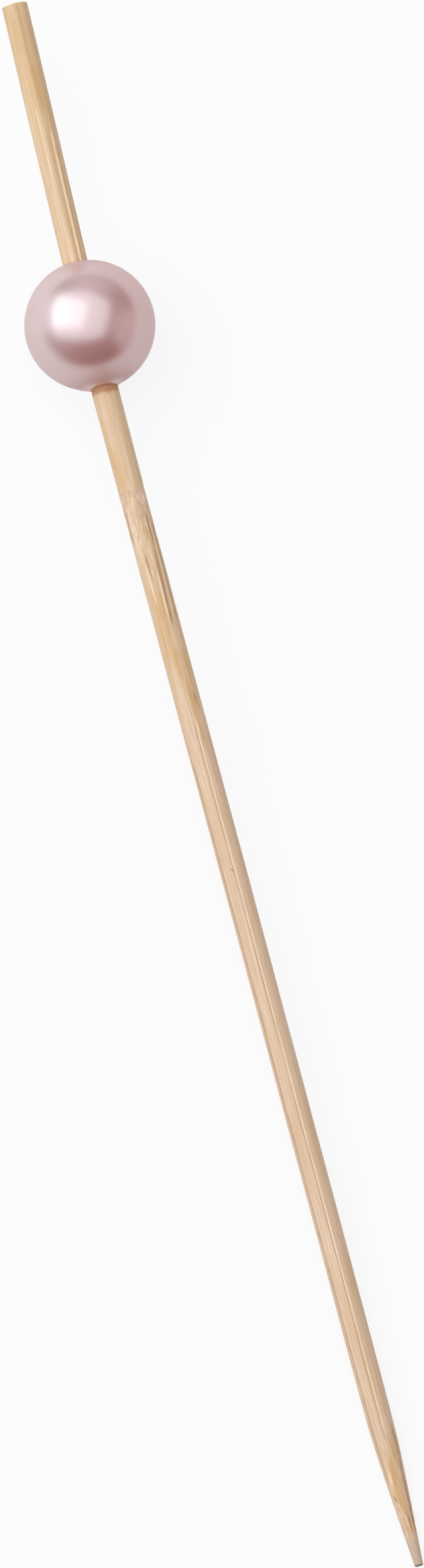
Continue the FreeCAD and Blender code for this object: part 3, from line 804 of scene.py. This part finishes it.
def bamboo_material():
    """Raw planed bamboo, whose noises are drawn out along the grain."""
    material, nodes = new_material("bamboo")
    shader = nodes.new("BsdfPrincipled")
    grain = nodes.attribute("grain", "Vector")
    fibres = nodes.noise(nodes.drawn_out(grain, 0.016), 9.0, detail=4.0, roughness=0.62)
    fine = nodes.noise(nodes.drawn_out(grain, 0.03), 26.0, detail=3.0, roughness=0.6)
    grit = nodes.noise(nodes.drawn_out(grain, 0.4), 3.8, detail=2.0, roughness=0.5)

    colour = plain_bamboo(nodes, grain, fibres, fine)
    colour = scuffed_bamboo(nodes, grain, grit, colour)
    colour = marked_bamboo(nodes, grain, colour)
    nodes.link(cut_bamboo(nodes, grain, colour), shader.inputs["Base Color"])
    nodes.link(nodes.spread(fibres, 0.3, 0.7, 0.72, 0.50), shader.inputs["Roughness"])
    shader.inputs["Specular IOR Level"].default_value = 0.32

    normal = nodes.bump(fibres, 0.00003, 0.5)
    normal = nodes.bump(fine, 0.000012, 0.5, normal)
    scuffs = nodes.math("MULTIPLY", grit, nodes.attribute("rough"))
    nodes.link(nodes.bump(scuffs, 0.00009, 0.8, normal), shader.inputs["Normal"])
    add_surface(nodes, shader)
    return material


def pearl_material():
    """Pearl lacquer: strong soft gloss on a rosy ground, with painted shade that darkens one side."""
    material, nodes = new_material("pearl")
    shader = nodes.new("BsdfPrincipled")
    own = nodes.attribute("own", "Vector")
    clouds = nodes.noise(own, 0.55, detail=2.0)
    skin = nodes.noise(own, 5.0, detail=3.0)
    # Painted shade: cool on the lit side, darker and rosier on the side turned from the light
    colour = nodes.mix(nodes.attribute("rosy_shade"), srgb(188, 152, 147), srgb(190, 112, 103))
    colour = nodes.mix(nodes.spread(clouds, 0.35, 0.65, 0.0, 0.4), colour, srgb(192, 136, 129))
    colour = nodes.mix(nodes.spread(skin, 0.45, 0.75, 0.0, 0.25), colour, srgb(198, 146, 141))
    colour = nodes.mix(nodes.math("MULTIPLY", nodes.attribute("bare"), 0.85), colour, srgb(206, 124, 108))
    # Red-brown towards the mouths: thinner lacquer, and painted shade where the bead closes round the stick
    colour = nodes.mix(nodes.math("MULTIPLY", nodes.attribute("hole_tint_and_shade"), 0.80), colour, srgb(176, 96, 62))
    nodes.link(colour, shader.inputs["Base Color"])
    shader.inputs["IOR"].default_value = 4.1
    shader.inputs["Specular Tint"].default_value = (0.995, 0.985, 1.0, 1.0)

    roughness = nodes.spread(skin, 0.3, 0.7, 0.285, 0.300)
    worn = nodes.math("MULTIPLY", nodes.attribute("halo"), 0.30)
    nodes.link(nodes.math("ADD", roughness, worn), shader.inputs["Roughness"])
    nodes.link(nodes.bump(skin, 0.000003, 0.1), shader.inputs["Normal"])
    add_surface(nodes, shader)
    return material


# Floor, in metres. The camera and the reflections see it nearly white, with the pick's shadow.

FLOOR_HALF = 3.0
FLOOR_COLOUR = (0.78, 0.78, 0.78, 1.0)
FLOOR_WHITENESS = 0.86


def floor_material():
    """Pale grey to the light, and mostly white to the camera and in reflections."""
    material, nodes = new_material("floor")
    plain = nodes.new("BsdfDiffuse")
    plain.inputs["Color"].default_value = FLOOR_COLOUR
    white = nodes.new("Emission")
    white.inputs["Strength"].default_value = 1.0
    path = nodes.new("LightPath")
    seen = nodes.math("MAXIMUM", path.outputs["Is Camera Ray"], path.outputs["Is Glossy Ray"])
    seen = nodes.math("MAXIMUM", seen, path.outputs["Is Transmission Ray"])
    mixed = nodes.new("MixShader")
    nodes.link(nodes.math("MULTIPLY", seen, FLOOR_WHITENESS), mixed.inputs[0])
    nodes.link(plain.outputs[0], mixed.inputs[1])
    nodes.link(white.outputs[0], mixed.inputs[2])
    add_surface(nodes, mixed)
    return material


def build_floor():
    """The square floor that the pick lies on."""
    mesh = bpy.data.meshes.new("floor")
    corners = [(x * FLOOR_HALF, y * FLOOR_HALF, 0.0) for x, y in ((-1, -1), (1, -1), (1, 1), (-1, 1))]
    mesh.from_pydata(corners, [], [(0, 1, 2, 3)])
    mesh.materials.append(floor_material())
    floor = bpy.data.objects.new("floor", mesh)
    bpy.context.scene.collection.objects.link(floor)
    return floor


# Camera, in metres apart from the sensor. It looks down on the lying pick from the point's side.

CAMERA_ELEVATION = math.radians(78.42)
CAMERA_ROLL = math.radians(14.9346)
CAMERA_DISTANCE = 1.300
VIEW_HEIGHT = 0.11556
AIM_RIGHT, AIM_UP = -0.0001293, 0.0004173
CLIP_NEAR, CLIP_FAR = 0.1, 20.0
SENSOR = 36.0

towards_camera = Vector((0.0, -math.cos(CAMERA_ELEVATION), math.sin(CAMERA_ELEVATION)))
level_up = Vector((0.0, math.sin(CAMERA_ELEVATION), math.cos(CAMERA_ELEVATION)))
image_right = side * math.cos(CAMERA_ROLL) - level_up * math.sin(CAMERA_ROLL)
image_up = side * math.sin(CAMERA_ROLL) + level_up * math.cos(CAMERA_ROLL)


def place_along(location, right, upward, backward):
    """A placement at a location, with three directions as its own axes."""
    return Matrix.Translation(location) @ Matrix([right, upward, backward]).transposed().to_4x4()


def add_camera():
    """The camera, aimed a little beside the origin."""
    lens = bpy.data.cameras.new("camera")
    lens.sensor_width = SENSOR
    lens.lens = SENSOR * CAMERA_DISTANCE / VIEW_HEIGHT
    lens.clip_start, lens.clip_end = CLIP_NEAR, CLIP_FAR
    camera = bpy.data.objects.new("camera", lens)
    bpy.context.scene.collection.objects.link(camera)
    place = image_right * AIM_RIGHT + image_up * AIM_UP + towards_camera * CAMERA_DISTANCE
    camera.matrix_world = place_along(place, image_right, image_up, towards_camera)
    bpy.context.scene.camera = camera


# Light, in metres

# Soft panels: name, direction as seen in the picture (right, up and towards the camera), width,
# height, radiance, distance and roll in degrees
PANELS = (
    ("softbox", (-0.31, 0.31, 0.88), 1.52, 1.16, 1.02, 0.62, -9.0),
    ("softbox_centre", (-0.58, 0.37, 0.72), 0.64, 0.56, 0.90, 0.60, -20.0),
)
PANEL_COLOUR = (0.955, 1.0, 1.045)

# Walls of the room that are darker or lighter than the rest: the two angles that place the middle
# of each, as mirrored has them, the cosines between which it fades in, and its colour
WALLS = (
    (84.0, 67.0, 0.50, 0.95, (0.15, 0.10, 0.085, 1.0)),
    (5.0, 74.0, 0.78, 0.97, (0.74, 0.68, 0.67, 1.0)),
    (275.0, 82.0, 0.80, 0.98, (0.60, 0.58, 0.62, 1.0)),
    (195.0, 82.0, 0.78, 0.98, (0.88, 0.95, 1.0, 1.0)),
)
ROOM_COLOUR = (0.29, 0.29, 0.31, 1.0)


def add_panel(name, seen_towards, width, height, radiance, distance, roll):
    """A soft panel that faces the object, as bright as a surface of that radiance."""
    right, upward, towards = seen_towards
    direction = (image_right * right + image_up * upward + towards_camera * towards).normalized()
    light = bpy.data.lights.new(name, "AREA")
    light.shape = "RECTANGLE"
    light.size, light.size_y = width, height
    light.color = PANEL_COLOUR
    light.energy = radiance * math.pi * width * height
    lamp = bpy.data.objects.new(name, light)
    bpy.context.scene.collection.objects.link(lamp)
    level = (image_right - direction * image_right.dot(direction)).normalized()
    level = Matrix.Rotation(math.radians(roll), 3, direction) @ level
    lamp.matrix_world = place_along(direction * distance, level, direction.cross(level), direction)
    lamp.visible_camera = False


def mirrored(across, tilt):
    """Direction in the room that the bead mirrors to the camera. Both angles are in degrees: the
    one in the picture, clockwise from the right, and the one from the camera's own direction."""
    across, tilt = math.radians(across), math.radians(tilt)
    away = image_right * math.cos(across) - image_up * math.sin(across)
    return towards_camera * math.cos(tilt) + away * math.sin(tilt)


def build_world():
    """A grey studio with one darker wall and three lighter ones."""
    world = bpy.data.worlds.new("studio")
    bpy.context.scene.world = world
    world.use_nodes = True
    nodes = Nodes(world.node_tree)
    place = nodes.new("TexCoord")
    colour = ROOM_COLOUR
    for across, tilt, low, high, tint in WALLS:
        towards = nodes.new("VectorMath")
        towards.operation = "DOT_PRODUCT"
        nodes.link(place.outputs["Generated"], towards.inputs[0])
        nodes.link(mirrored(across, tilt), towards.inputs[1])
        colour = nodes.mix(nodes.spread(towards.outputs["Value"], low, high), colour, tint)
    background = world.node_tree.nodes["Background"]
    nodes.link(colour, background.inputs["Color"])
    background.inputs["Strength"].default_value = 1.0


stick = build_stick()
stick.data.materials.append(bamboo_material())
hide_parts("bamboo_stick")
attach(stick, "root")

bead = build_bead()
bead.data.materials.append(pearl_material())
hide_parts("pearl_bead")
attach(bead, "root")

build_floor()
add_camera()
for panel in PANELS:
    add_panel(*panel)
build_world()
bpy.context.scene.view_settings.view_transform = "Standard"
